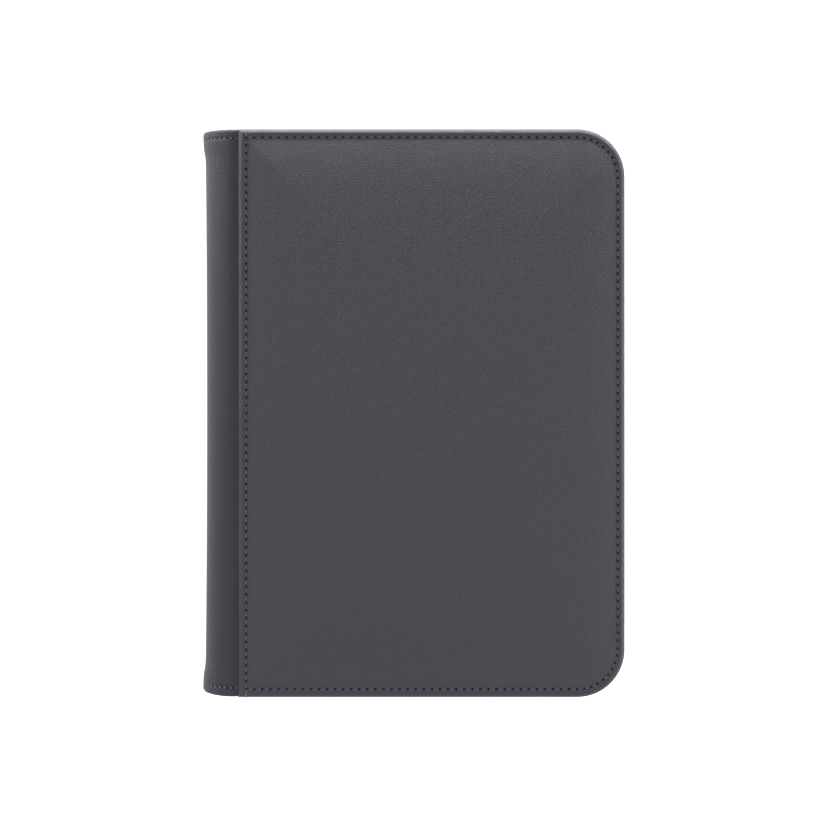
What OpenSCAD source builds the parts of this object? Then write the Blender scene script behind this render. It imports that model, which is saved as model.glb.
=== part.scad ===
// Side-loading trading card binder: two padded covers joined by a half-round soft spine,
// a zip round the other three sides, and a block of four-pocket leaves bound at the spine.
// It lies closed on its back cover. +X runs from the spine to the opening edge, +Y to the
// binder's top and +Z through its thickness, with the origin under the middle of the binder.

/* [Overall] */
// Width from the outside of the spine to the opening edge
binder_w = 187.5; // [184:0.5:196]
// Height along the spine
binder_h = 250; // [240:1:262]
// Thickness when closed
binder_t = 37; // [36:0.5:42]
// Radius of the two corners at the opening edge
corner_r = 21; // [16:0.5:26]

/* [Covers] */
// Thickness of the outer leather
leather_t = 1; // [0.8:0.1:1.1]
// Thickness of the foam under the leather
foam_t = 0.8; // [0.6:0.1:1]
// Thickness of the stiff board
board_t = 1.5; // [1.2:0.1:1.7]
// Width of the leather turned in over the board's edge
hem_w = 9; // [8.5:0.5:12]
// Thickness of the turned-in leather
hem_t = 0.8; // [0.6:0.1:0.9]
// Thickness of the lining
lining_t = 0.5; // [0.3:0.1:0.6]
// Radius of the fold along each cover's spine edge, on which the cover hinges
fold_r = 1.6; // [1.4:0.1:1.8]

/* [Spine] */
// Thickness of the spine's leather
spine_leather_t = 1.2; // [1:0.1:1.4]
// Thickness of the felt inside the spine, and of the leather turned in at its ends
spine_felt_t = 1.2; // [1:0.1:1.4]
// Thickness of the spine's lining
spine_lining_t = 0.4; // [0.3:0.1:0.5]
// Height of the leather turned in at each end of the spine
spine_hem_h = 9; // [7:0.5:12]
// How far the spine's surface lies under a cover's outer face
spine_drop = 1; // [0.8:0.1:1.1]

/* [Stitching] */
// Distance of the stitching from a cover's opening edge
stitch_inset = 3.2; // [2.8:0.1:3.6]
// Distance of the stitching from a cover's top and bottom edges
end_stitch_inset = 3.8; // [3.4:0.1:4.8]
// Distance of the seam stitching from a cover's spine edge
seam_inset = 3.6; // [3.4:0.1:4.2]
// Distance of the stitching from the spine's ends
spine_stitch_inset = 4; // [3.2:0.1:5]
// Width of a run of thread
thread_w = 0.7; // [0.5:0.1:0.8]
// Depth of the thread in the leather
thread_t = 0.4; // [0.3:0.1:0.5]

/* [Zip] */
// Distance of the zip's mid-plane from the covers' edges
zip_inset = 5; // [4.6:0.1:5.2]
// Thickness of the zip's woven tape
tape_t = 0.7; // [0.5:0.1:0.8]
// Thickness of the tape's foot, sewn between cover and lining
foot_t = 0.4; // [0.3:0.1:0.5]
// Height of one row of the coil
coil_w = 2.4; // [2:0.1:2.6]
// Thickness of the coil across the tape
coil_t = 2; // [1.8:0.1:2.2]
// Gap between the two rows, which the slider's post runs in
coil_gap = 1; // [0.9:0.1:1.2]
// Distance from the covers' spine edges to the zip's ends
zip_start = 6; // [5.5:0.5:9]
// Length of a stop at the end of the coil
stop_l = 3; // [2.5:0.5:4]

/* [Slider and pull] */
// Length of the slider along the zip
slider_l = 11; // [10.5:0.5:12]
// Height of the slider across the zip
slider_w = 9; // [8.6:0.1:9.6]
// Thickness of each of the slider's two plates
plate_t = 1.2; // [1:0.1:1.2]
// Width of the bail that holds the pull
bail_w = 1.8; // [1.6:0.1:2]
// Radius of the pull's crossbar
crossbar_r = 0.45; // [0.4:0.01:0.48]
// Length of the pull from its crossbar
pull_l = 34; // [26:1:38]
// Width of the pull
pull_w = 7; // [6.5:0.5:8]
// Thickness of the pull
pull_t = 0.9; // [0.8:0.05:0.95]

/* [Leaves] */
// Number of leaves, each with pockets on both faces
leaf_count = 20; // [16:1:20]
// Thickness of an empty leaf
leaf_t = 0.6; // [0.4:0.1:0.7]
// Width of a leaf outside its root strip
leaf_w = 149; // [140:0.5:149]
// Height of a leaf
leaf_h = 206; // [196:1:206]
// Width of the flexible strip at a leaf's root
root_w = 8; // [7.5:0.5:9]
// Thickness of the root strip
root_t = 0.2; // [0.15:0.01:0.22]
// Radius of the bound core that the leaves turn on
core_r = 3.2; // [3.2:0.1:3.5]
// Thickness of the strip that ties the core to the back cover
binding_t = 0.8; // [0.6:0.1:0.9]
// Width of the binding strip's foot on the lining
binding_foot_w = 12; // [10:1:16]

/* [Hidden] */
$fn = 96;
// clearance between pieces that move past each other
clear = 0.3;
// margin by which a cutting solid stands out of what it cuts
over = 1;

// heights of the layers of a cover above its outer face
foam_z = leather_t;
board_z = foam_z + foam_t;
hem_z = board_z + board_t;
foot_z = hem_z + hem_t;
lining_z = foot_z + foot_t;
panel_t = lining_z + lining_t;

// the covers and the spine's arc
mid_z = binder_t / 2;
spine_r = mid_z - spine_drop;
cover_w = binder_w - spine_r;
edge_x = binder_w / 2;
cover_x = edge_x - cover_w;
half_h = binder_h / 2;

// the zip, on the three sides away from the spine
zip_x = cover_x + zip_start;
row_z = mid_z - coil_gap / 2 - coil_w;
foot_out = 2;
foot_in = 8;
side_y = half_h - zip_inset;

// the slider, parked against the stops on the lower side
slider_x = zip_x + stop_l + clear;
front_row_x = slider_x + slider_l + over;
plate_y = coil_t / 2 + clear;
flange_z = coil_gap / 2 + coil_w + clear;
post_t = coil_gap / 2;
post_l = 3;
bail_t = 0.8;
bail_foot_l = 1.2;
bail_x = 1.5;
bail_l = slider_l - 2 * bail_x;
play = 0.1;
bail_y = plate_y + plate_t + 2 * (crossbar_r + play);
crossbar_y = plate_y + plate_t + crossbar_r + play;
crossbar_x = bail_x + bail_l - bail_foot_l - crossbar_r - play;
eye_l = 4.5;
arm_w = 1.2;
pull_hole_r = 1.2;
pull_hole_l = 7;
pull_hole_end = 5;

// the leaves, one above another, and the core that their root strips fan out from
core_x = cover_x + core_r + over;
stack_margin = 0.85;
stack_h = binder_t - 2 * panel_t - 2 * stack_margin - leaf_t;
leaf_pitch = stack_h / (leaf_count - 1);
root_r = core_r + 0.4;
root_spread = 152;

leather_colour = [0.30, 0.30, 0.33];
lining_colour = [0.10, 0.10, 0.11];
thread_colour = [0.22, 0.22, 0.24];
board_colour = [0.62, 0.56, 0.46];
foam_colour = [0.80, 0.80, 0.76];
tape_colour = [0.13, 0.13, 0.14];
coil_colour = [0.07, 0.07, 0.08];
metal_colour = [0.24, 0.24, 0.26];
leaf_colour = [0.16, 0.16, 0.18];

function leaf_name(i) = str("leaf_", i < 10 ? "0" : "", i);
function leaf_z(i) = (i - (leaf_count + 1) / 2) * leaf_pitch;
function root_angle(i) = (i - (leaf_count + 1) / 2) * root_spread / (leaf_count - 1);

// Outline of a cover, drawn in by inset. Its left side can be drawn in by another amount,
// and its top and bottom ends by another.
module outline(inset, left_inset = undef, end_inset = undef) {
    left = cover_x + (is_undef(left_inset) ? inset : left_inset);
    r = corner_r - inset;
    right = edge_x - inset;
    top = half_h - (is_undef(end_inset) ? inset : end_inset);
    translate([left, -top])
        square([right - r - left, 2 * top]);
    translate([left, -top + r])
        square([right - left, 2 * (top - r)]);
    for (side = [-1, 1])
        translate([right - r, side * (top - r)])
            circle(r);
}

// A flat layer of the cover's outline between two heights.
module layer(z, t, inset, left_inset = undef, end_inset = undef)
    translate([0, 0, z])
        linear_extrude(t)
            outline(inset, left_inset, end_inset);

// A band along the cover's outline between two insets, open towards the spine. It begins
// at low_x on the lower side and at high_x on the upper side.
module band(z, t, outer, inner, low_x, high_x)
    difference() {
        layer(z, t, outer);
        translate([0, 0, -over])
            layer(z, t + 2 * over, inner, outer - zip_start);
        translate([cover_x - over, -half_h, z - over])
            cube([low_x - cover_x + over, half_h, t + 2 * over]);
        translate([cover_x - over, 0, z - over])
            cube([high_x - cover_x + over, half_h, t + 2 * over]);
    }

// Puts a piece made for the back cover on the front cover.
module on_front()
    translate([0, 0, binder_t])
        mirror([0, 0, 1])
            children();

// The run of thread along the edges and down the seam, flush with the leather.
module stitch_run(t) {
    half_w = thread_w / 2;
    difference() {
        layer(0, t, stitch_inset - half_w, seam_inset - half_w, end_stitch_inset - half_w);
        translate([0, 0, -over])
            layer(0, t + 2 * over, stitch_inset + half_w, seam_inset + half_w, end_stitch_inset + half_w);
    }
    translate([cover_x + seam_inset - half_w, -half_h, 0])
        cube([thread_w, binder_h, t]);
}

// Outer leather: skin, rim and turned-in hem, with a rounded fold along the spine edge.
module leather_panel()
    difference() {
        layer(0, foot_z, 0);
        layer(foam_z, foam_t + board_t, leather_t);
        layer(hem_z - over / 2, hem_t + over, hem_w);
        translate([0, 0, -over])
            stitch_run(thread_t + over);
        translate([cover_x, half_h + over, 0])
            rotate([90, 0, 0])
                linear_extrude(binder_h + 2 * over)
                    difference() {
                        translate([-over, -over])
                            square(fold_r + over);
                        translate([fold_r, fold_r])
                            circle(fold_r);
                    }
    }

module foam_panel()
    layer(foam_z, foam_t, leather_t);

module board_panel()
    layer(board_z, board_t, leather_t);

// Lining, stepped over the turned-in leather and the tape's foot.
module lining_panel() {
    layer(hem_z, hem_t, hem_w);
    layer(foot_z, foot_t, foot_in, foot_in);
    layer(lining_z, lining_t, zip_inset + tape_t / 2 + clear, clear + over);
}

// Half of the zip's tape: a foot under the lining and a wall up to the coil.
module zip_tape() {
    band(foot_z, foot_t, foot_out, foot_in, zip_x, zip_x);
    band(foot_z, row_z - foot_z, zip_inset - tape_t / 2, zip_inset + tape_t / 2, zip_x, zip_x);
}

module zip_row(low_x, high_x)
    band(row_z, coil_w, zip_inset - coil_t / 2, zip_inset + coil_t / 2, low_x, high_x);

// A stop crimped over the end of a coil row.
module stop(side, reach_z) {
    stop_t = coil_t + 2 * play;
    translate([zip_x, side * side_y - stop_t / 2, row_z])
        cube([stop_l, stop_t, reach_z - row_z]);
}

// Part of the spine's half-round shell, between two radii and over a stretch of its height.
module spine_shell(r_out, r_in, y0, y1)
    translate([cover_x, y1, mid_z])
        rotate([90, 0, 0])
            linear_extrude(y1 - y0)
                difference() {
                    circle(r_out);
                    circle(r_in);
                    translate([-clear, -r_out - over])
                        square([r_out + 2 * over, 2 * (r_out + over)]);
                }

module spine_threads(depth)
    for (side = [-1, 1])
        spine_shell(spine_r, spine_r - depth,
            side * (half_h - spine_stitch_inset) - thread_w / 2,
            side * (half_h - spine_stitch_inset) + thread_w / 2);

module back_leather() color(leather_colour) leather_panel();
module back_foam() color(foam_colour) foam_panel();
module back_board() color(board_colour) board_panel();
module back_lining() color(lining_colour) lining_panel();
module back_thread() color(thread_colour) stitch_run(thread_t);
module back_zip_tape() color(tape_colour) zip_tape();
module back_zip_coil() color(coil_colour) zip_row(zip_x + stop_l, zip_x + stop_l);
module back_top_stop() color(metal_colour) stop(-1, mid_z - coil_gap / 2);

// The stop that ties both rows together at the zip's far end.
module bottom_stop() color(metal_colour) stop(1, mid_z + coil_gap / 2 + coil_w - clear);

module front_leather() color(leather_colour) on_front() leather_panel();
module front_foam() color(foam_colour) on_front() foam_panel();
module front_board() color(board_colour) on_front() board_panel();
module front_lining() color(lining_colour) on_front() lining_panel();
module front_thread() color(thread_colour) on_front() stitch_run(thread_t);
module front_zip_tape() color(tape_colour) on_front() zip_tape();
module front_zip_coil() color(coil_colour) on_front() zip_row(front_row_x, zip_x + stop_l + over);
module front_top_stop() color(metal_colour) on_front() stop(-1, mid_z - coil_gap / 2);

module spine_leather()
    color(leather_colour)
        difference() {
            union() {
                spine_shell(spine_r, spine_r - spine_leather_t, -half_h, half_h);
                for (side = [-1, 1])
                    spine_shell(spine_r - spine_leather_t, spine_r - spine_leather_t - spine_felt_t,
                        side > 0 ? half_h - spine_hem_h : -half_h,
                        side > 0 ? half_h : -half_h + spine_hem_h);
            }
            spine_threads(thread_t);
        }

module spine_felt()
    color(foam_colour)
        spine_shell(spine_r - spine_leather_t, spine_r - spine_leather_t - spine_felt_t,
            -half_h + spine_hem_h, half_h - spine_hem_h);

module spine_lining()
    color(lining_colour)
        spine_shell(spine_r - spine_leather_t - spine_felt_t,
            spine_r - spine_leather_t - spine_felt_t - spine_lining_t,
            -half_h + over, half_h - over);

module spine_thread() color(thread_colour) spine_threads(thread_t);

// Strip that stands on the back lining and carries the core.
module binding_strip()
    color(leather_colour)
        translate([core_x - binding_t / 2, -leaf_h / 2, 0]) {
            translate([0, 0, panel_t])
                cube([binding_foot_w, leaf_h, lining_t]);
            difference() {
                translate([0, 0, panel_t])
                    cube([binding_t, leaf_h, mid_z - panel_t]);
                translate([binding_t / 2, -over, mid_z])
                    rotate([-90, 0, 0])
                        cylinder(r = core_r, h = leaf_h + 2 * over);
            }
        }

module binding_core()
    color(tape_colour)
        translate([core_x, -leaf_h / 2, mid_z])
            rotate([-90, 0, 0])
                cylinder(r = core_r, h = leaf_h);

// A leaf: a thin strip from the core, rising or falling to the flat pocket sheet.
module leaf(i) {
    a = root_angle(i);
    z = leaf_z(i);
    // half the strip's thickness, across the strip, at its two ends
    run = [root_w - root_r * cos(a), z - root_r * sin(a)];
    across = root_t / 2 * [-run[1], run[0]] / norm(run);
    start = root_r * [cos(a), sin(a)];
    color(leaf_colour)
        translate([core_x, leaf_h / 2, mid_z])
            rotate([90, 0, 0])
                linear_extrude(leaf_h) {
                    polygon([start - across, [root_w + root_t, z] - across,
                             [root_w + root_t, z] + across, start + across]);
                    translate([root_w, z - leaf_t / 2])
                        square([leaf_w, leaf_t]);
                }
}

// The slider in its own place: x along the zip, y inwards from the zip's mid-plane.
module slider_form() {
    for (side = [-1, 1]) {
        translate([0, side > 0 ? plate_y : -plate_y - plate_t, -slider_w / 2])
            cube([slider_l, plate_t, slider_w]);
        for (row = [-1, 1])
            translate([0, side > 0 ? tape_t / 2 + clear : -plate_y,
                       row > 0 ? flange_z : -slider_w / 2])
                cube([slider_l, plate_y - tape_t / 2 - clear, slider_w / 2 - flange_z]);
    }
    // the post that parts the two rows stands at the end that leads as the zip closes
    translate([0, -plate_y, -post_t / 2])
        cube([post_l, 2 * plate_y, post_t]);
    // bail: a low arch along the outer plate
    translate([bail_x, -bail_y - bail_t, -bail_w / 2])
        cube([bail_l, bail_t, bail_w]);
    for (x = [bail_x, bail_x + bail_l - bail_foot_l])
        translate([x, -bail_y, -bail_w / 2])
            cube([bail_foot_l, bail_y - plate_y - plate_t, bail_w]);
}

// The pull, with its crossbar on the origin and its tab along +X.
module pull_form() {
    arm_z = bail_w / 2 + clear;
    cylinder(r = crossbar_r, h = 2 * (arm_z + arm_w), center = true);
    for (side = [-1, 1])
        translate([0, -crossbar_r, side > 0 ? arm_z : -arm_z - arm_w])
            cube([eye_l + over, 2 * crossbar_r, arm_w]);
    rotate([90, 0, 0])
        linear_extrude(pull_t, center = true)
            difference() {
                union() {
                    translate([eye_l, -pull_w / 2])
                        square([pull_l - eye_l - pull_w / 2, pull_w]);
                    translate([pull_l - pull_w / 2, 0])
                        circle(pull_w / 2);
                }
                for (x = [pull_l - pull_hole_end - pull_hole_l, pull_l - pull_hole_end])
                    translate([x, 0])
                        circle(pull_hole_r);
                translate([pull_l - pull_hole_end - pull_hole_l, -pull_hole_r])
                    square([pull_hole_l, 2 * pull_hole_r]);
            }
}

module zip_slider()
    color(metal_colour)
        translate([slider_x, -side_y, mid_z])
            slider_form();

module zip_pull()
    color(metal_colour)
        translate([slider_x + crossbar_x, -side_y - crossbar_y, mid_z])
            pull_form();

back_leather();
back_foam();
back_board();
back_lining();
back_thread();
back_zip_tape();
back_zip_coil();
back_top_stop();
bottom_stop();
binding_strip();
binding_core();
spine_leather();
spine_felt();
spine_lining();
spine_thread();
front_leather();
front_foam();
front_board();
front_lining();
front_thread();
front_zip_tape();
front_zip_coil();
front_top_stop();
zip_slider();
zip_pull();
for (i = [1:leaf_count])
    leaf(i);
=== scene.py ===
"""Looks of a side-loading trading card binder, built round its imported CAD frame.

The binder lies closed on its back cover: +X runs from spine to opening edge, +Y to its top, +Z up.
"""

import math

import bpy
import numpy as np
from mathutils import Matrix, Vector


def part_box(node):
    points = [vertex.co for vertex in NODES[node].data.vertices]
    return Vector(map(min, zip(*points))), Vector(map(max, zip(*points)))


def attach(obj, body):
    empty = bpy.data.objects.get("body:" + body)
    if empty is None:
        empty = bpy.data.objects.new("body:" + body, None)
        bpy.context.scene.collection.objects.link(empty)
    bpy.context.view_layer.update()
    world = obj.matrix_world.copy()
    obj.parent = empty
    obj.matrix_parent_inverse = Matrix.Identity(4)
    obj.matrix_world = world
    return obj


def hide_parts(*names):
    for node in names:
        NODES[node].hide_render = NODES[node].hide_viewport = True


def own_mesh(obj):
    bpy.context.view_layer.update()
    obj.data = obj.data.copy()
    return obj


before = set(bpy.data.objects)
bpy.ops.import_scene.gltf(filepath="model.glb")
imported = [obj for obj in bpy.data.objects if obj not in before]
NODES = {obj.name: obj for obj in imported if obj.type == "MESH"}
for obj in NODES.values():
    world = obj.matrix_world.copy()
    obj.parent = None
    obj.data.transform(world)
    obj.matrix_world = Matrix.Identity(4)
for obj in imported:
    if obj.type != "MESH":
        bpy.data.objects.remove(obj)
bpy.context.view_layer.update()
MM = 0.001

# -------- sizes, the frame's own first

front_low, front_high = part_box("front_leather")
back_low, back_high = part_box("back_leather")
EDGE_X = front_high[0]
COVER_X = front_low[0]
HALF_H = front_high[1]
TOP_Z = front_high[2]
MID_Z = TOP_Z / 2
PANEL_T = back_high[2] - back_low[2]
SPINE_R = COVER_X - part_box("spine_leather")[0][0]

# radius of a cover's two free corners
CORNER_R = 21.0 * MM
# distance of the stitches from a cover's opening edge, and from its top and bottom edges
STITCH_INSET = 3.2 * MM
END_INSET = 3.8 * MM
# distance of the seam beside the spine from the cover's spine edge, by half the width of its thread
THREAD_HALF = 0.35 * MM
SEAM_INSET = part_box("back_thread")[0][0] - COVER_X + THREAD_HALF
# distance of the zip's middle plane from a cover's edge, by half the thickness of its coil
COIL_HALF = 1.0 * MM
ZIP_INSET = HALF_H - (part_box("back_zip_coil")[1][1] - COIL_HALF)

# -------- mesh helpers


def make(name, verts, faces, material, body, replaced=(), grain=None, pit=None, weld=None):
    """A mesh piece that rides on a body and stands for the named CAD nodes.

    grain is the unrolled place of each vertex on its hide, pit is how far it lies in a needle hole and sets
    the hole's painted shade, and weld is 1 where it lies on a welded seam.
    """
    mesh = bpy.data.meshes.new(name)
    mesh.from_pydata(np.asarray(verts, float).tolist(), [], [list(map(int, f)) for f in faces])
    mesh.validate()
    if grain is not None:
        layer = mesh.attributes.new("grain", "FLOAT_VECTOR", "POINT")
        layer.data.foreach_set("vector", np.asarray(grain, np.float32).ravel())
    for label, shares in (("pit", pit), ("weld", weld)):
        if shares is not None:
            layer = mesh.attributes.new(label, "FLOAT", "POINT")
            layer.data.foreach_set("value", np.asarray(shares, np.float32).ravel())
    mesh.polygons.foreach_set("use_smooth", [True] * len(mesh.polygons))
    mesh.materials.append(material)
    # faces deep in a needle hole take a painted near-black shade, standing for the hole's shadow
    if pit is not None:
        mesh.materials.append(HOLE_SHADE)
        share = np.ravel(pit)
        dark = [share[list(face.vertices)].min() > HOLE_SHADE_EDGE for face in mesh.polygons]
        mesh.polygons.foreach_set("material_index", np.array(dark, np.int32))
    mesh.update()
    piece = bpy.data.objects.new(name, mesh)
    bpy.context.scene.collection.objects.link(piece)
    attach(piece, body)
    if replaced:
        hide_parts(*replaced)
    return piece


def grid_faces(rows, cols, close_rows=False, close_cols=False):
    """Quads of a grid of rows by cols vertices."""
    i = np.arange(rows if close_rows else rows - 1)
    j = np.arange(cols if close_cols else cols - 1)
    i, j = np.meshgrid(i, j, indexing="ij")
    a = i * cols + j
    b = i * cols + (j + 1) % cols
    c = (i + 1) % rows * cols + (j + 1) % cols
    d = (i + 1) % rows * cols + j
    return np.stack([a, b, c, d], -1).reshape(-1, 4)


def repeat(template, faces, origins, along, across, up, scale=None):
    """Copies of a template mesh at each origin, turned to the three given directions."""
    n = len(template)
    scale = np.ones(len(origins)) if scale is None else np.asarray(scale)
    verts = (
        origins[:, None]
        + (template[None, :, 0:1] * scale[:, None, None]) * along[:, None]
        + template[None, :, 1:2] * across[:, None]
        + template[None, :, 2:3] * up[:, None]
    )
    all_faces = (faces[None] + n * np.arange(len(origins))[:, None, None]).reshape(-1, faces.shape[1])
    return verts.reshape(-1, 3), all_faces


def swept(path, first, second, radius, sides):
    """A tube along a path, whose rings are spanned by two directions at each point."""
    angle = np.linspace(0, 2 * math.pi, sides, endpoint=False)
    ring = first[:, None] * np.cos(angle)[None, :, None] + second[:, None] * np.sin(angle)[None, :, None]
    radius = np.broadcast_to(radius, len(path))[:, None, None]
    return (path[:, None] + radius * ring).reshape(-1, 3), tube_faces(len(path), sides)


def tube(path, radius, sides=8, side=(0.0, 1.0, 0.0), widen=1.0):
    """A tube along a path of points, closed by a flat cap at each end, and widened along side."""
    path = np.asarray(path, float)
    tangent = unit(np.gradient(path, axis=0))
    first = unit(np.cross(tangent, side))
    return swept(path, first, widen * np.cross(tangent, first), radius, sides)


def tube_faces(rings, sides):
    """Quads of a tube of some rings of vertices, with its two end caps."""
    wall = grid_faces(rings, sides, close_cols=True)
    cap = np.array([[0, k, k + 1, k + 2] for k in range(1, sides - 2, 2)])
    return np.concatenate([wall, cap, cap[:, ::-1] + (rings - 1) * sides])


def joined(parts):
    """One mesh of several parts, each a pair of vertices and faces."""
    verts, faces = [], []
    count = 0
    for part_verts, part_faces in parts:
        verts.append(part_verts)
        faces += [[int(k) + count for k in face] for face in part_faces]
        count += len(part_verts)
    return np.concatenate(verts), faces


def unit(vectors):
    """Vectors brought to a length of one."""
    return vectors / np.linalg.norm(vectors, axis=-1, keepdims=True)


def drawn_in(loop, inset):
    """A closed anticlockwise loop of points, drawn in by an inset."""
    ahead = np.roll(loop, -1, axis=0) - np.roll(loop, 1, axis=0)
    inward = np.column_stack([-ahead[:, 1], ahead[:, 0]])
    return loop + inset * unit(inward)


def stacked(rows):
    """Vertices of closed loops of points, each drawn in by an inset and set at a height."""
    return np.concatenate([
        np.column_stack([drawn_in(loop, inset), np.full(len(loop), height)])
        for loop, inset, height in rows
    ])


def slab(loop, profile):
    """A solid on an anticlockwise loop, through rings of (inset, height), with a flat face at each end."""
    n = len(loop)
    last = (len(profile) - 1) * n
    faces = grid_faces(len(profile), n, close_cols=True).tolist()
    faces.append(list(range(n))[::-1])
    faces.append(list(range(last, last + n)))
    return stacked([(loop, inset, height) for inset, height in profile]), faces


def level(run):
    """Flat directions as vectors in space, with the directions across them."""
    still = np.zeros(len(run))
    return np.column_stack([run, still]), np.column_stack([-run[:, 1], run[:, 0], still])


def hill(distance, reach):
    """A smooth hill, 1 at its middle, that falls away over its reach."""
    return np.exp(-((distance / reach) ** 2))


def ease(value, middle, softness):
    """A smooth step from 0 to 1, half way up at the middle."""
    return 1 / (1 + np.exp((middle - value) / softness))


# -------- the cover's outline

# points along each stitch
LOOP_STEPS = 8
# stitches along each straight end, the opening edge, a corner and the seam
END_STITCHES = 41
EDGE_STITCHES = 59
CORNER_STITCHES = 9
SEAM_STITCHES = 70


def outline(inset, left=None, end=None):
    """Points round a cover's outline, drawn in by inset, or by left at the spine and end at both ends."""
    left_x = COVER_X + (inset if left is None else left)
    r = max(CORNER_R - inset, 1.0 * MM)
    right = EDGE_X - inset - r
    top = HALF_H - (inset if end is None else end)
    high = top - r

    def shares(stitches):
        return np.arange(stitches * LOOP_STEPS)[:, None] / (stitches * LOOP_STEPS)

    def straight(start, stop, stitches):
        return np.array(start) + shares(stitches) * (np.array(stop) - np.array(start))

    def corner(middle, first):
        turn = first + math.pi / 2 * shares(CORNER_STITCHES)
        return np.array(middle) + r * np.hstack([np.cos(turn), np.sin(turn)])

    return np.concatenate([
        straight((left_x, -top), (right, -top), END_STITCHES),
        corner((right, -high), -math.pi / 2),
        straight((right + r, -high), (right + r, high), EDGE_STITCHES),
        corner((right, high), 0.0),
        straight((right, top), (left_x, top), END_STITCHES),
        straight((left_x, top), (left_x, -top), SEAM_STITCHES),
    ])


# -------- materials


class Graph:
    """A material, with short calls for building its node tree."""

    def __init__(self, name, colour, rough, metallic=0.0):
        self.material = bpy.data.materials.new(name)
        self.material.use_nodes = True
        self.tree = self.material.node_tree
        self.put("Base Color", (*colour, 1))
        self.put("Roughness", rough)
        self.put("Metallic", metallic)

    def feed(self, target, value):
        """Sets an input of a node, or links a socket to it."""
        if isinstance(value, bpy.types.NodeSocket):
            self.tree.links.new(value, target)
        else:
            target.default_value = value

    def put(self, label, value):
        """Feeds an input of the surface shader."""
        self.feed(self.tree.nodes["Principled BSDF"].inputs[label], value)

    def node(self, kind, feeds=None, **settings):
        """A new node with some settings, and with a value or a socket for each named input."""
        n = self.tree.nodes.new(kind)
        for key, value in settings.items():
            setattr(n, key, value)
        for label, value in (feeds or {}).items():
            self.feed(n.inputs[label], value)
        return n

    def maths(self, operation, *values):
        n = self.node("ShaderNodeMath", operation=operation)
        for target, value in zip(n.inputs, values):
            self.feed(target, value)
        return n.outputs[0]

    def noise(self, vector, scale, detail=3, rough=0.5):
        feeds = {"Vector": vector, "Scale": scale, "Detail": detail, "Roughness": rough}
        return self.node("ShaderNodeTexNoise", feeds).outputs["Fac"]

    def ramp(self, value, low, high, colour_low, colour_high):
        n = self.node("ShaderNodeValToRGB", {"Fac": value})
        for end, position, colour in zip(n.color_ramp.elements, (low, high), (colour_low, colour_high)):
            end.position = position
            end.color = (*colour, 1)
        return n.outputs["Color"]

    def span(self, value, from_low, from_high, low, high):
        feeds = {"Value": value, "From Min": from_low, "From Max": from_high, "To Min": low, "To Max": high}
        return self.node("ShaderNodeMapRange", feeds).outputs["Result"]

    def object_place(self):
        return self.node("ShaderNodeTexCoord").outputs["Object"]

    def axes(self, vector):
        n = self.node("ShaderNodeSeparateXYZ", {"Vector": vector})
        return n.outputs["X"], n.outputs["Y"], n.outputs["Z"]

    def attribute(self, label, output="Fac"):
        return self.node("ShaderNodeAttribute", attribute_name=label).outputs[output]

    def mix(self, share, ground, colour):
        """The ground colour, going over to a fixed colour as share rises."""
        n = self.node("ShaderNodeMix", {"Factor": share}, data_type="RGBA")
        colours = [socket for socket in n.inputs if socket.type == "RGBA"]
        self.feed(colours[0], ground)
        self.feed(colours[1], (*colour, 1))
        return next(socket for socket in n.outputs if socket.type == "RGBA")

    def bump(self, height, strength, distance, under=None):
        """Roughens the surface by a height, over the bump under it if there is one."""
        n = self.node("ShaderNodeBump", {"Height": height, "Strength": strength, "Distance": distance})
        if under is not None:
            self.feed(n.inputs["Normal"], under)
        self.put("Normal", n.outputs["Normal"])
        return n.outputs["Normal"]

    def shade(self, value, low, high, colour, dark, light):
        """Colours the surface from a dark share of a colour at low to a light share of it at high."""
        self.put("Base Color", self.shades(value, low, high, colour, dark, light))

    def shades(self, value, low, high, colour, dark, light):
        return self.ramp(value, low, high, [c * dark for c in colour], [c * light for c in colour])


# the leather's pressed ridges: pitch, how far they stray, and a power under 1 that broadens their tops
RIDGE_PITCH = 0.98 * MM
RIDGE_WOBBLE = 0.6 * MM
RIDGE_ROUNDNESS = 0.7
# painted shade: the near-black that stands for the shadow inside a needle hole
HOLE_SHADE_COLOUR = (0.004, 0.004, 0.005)


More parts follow.
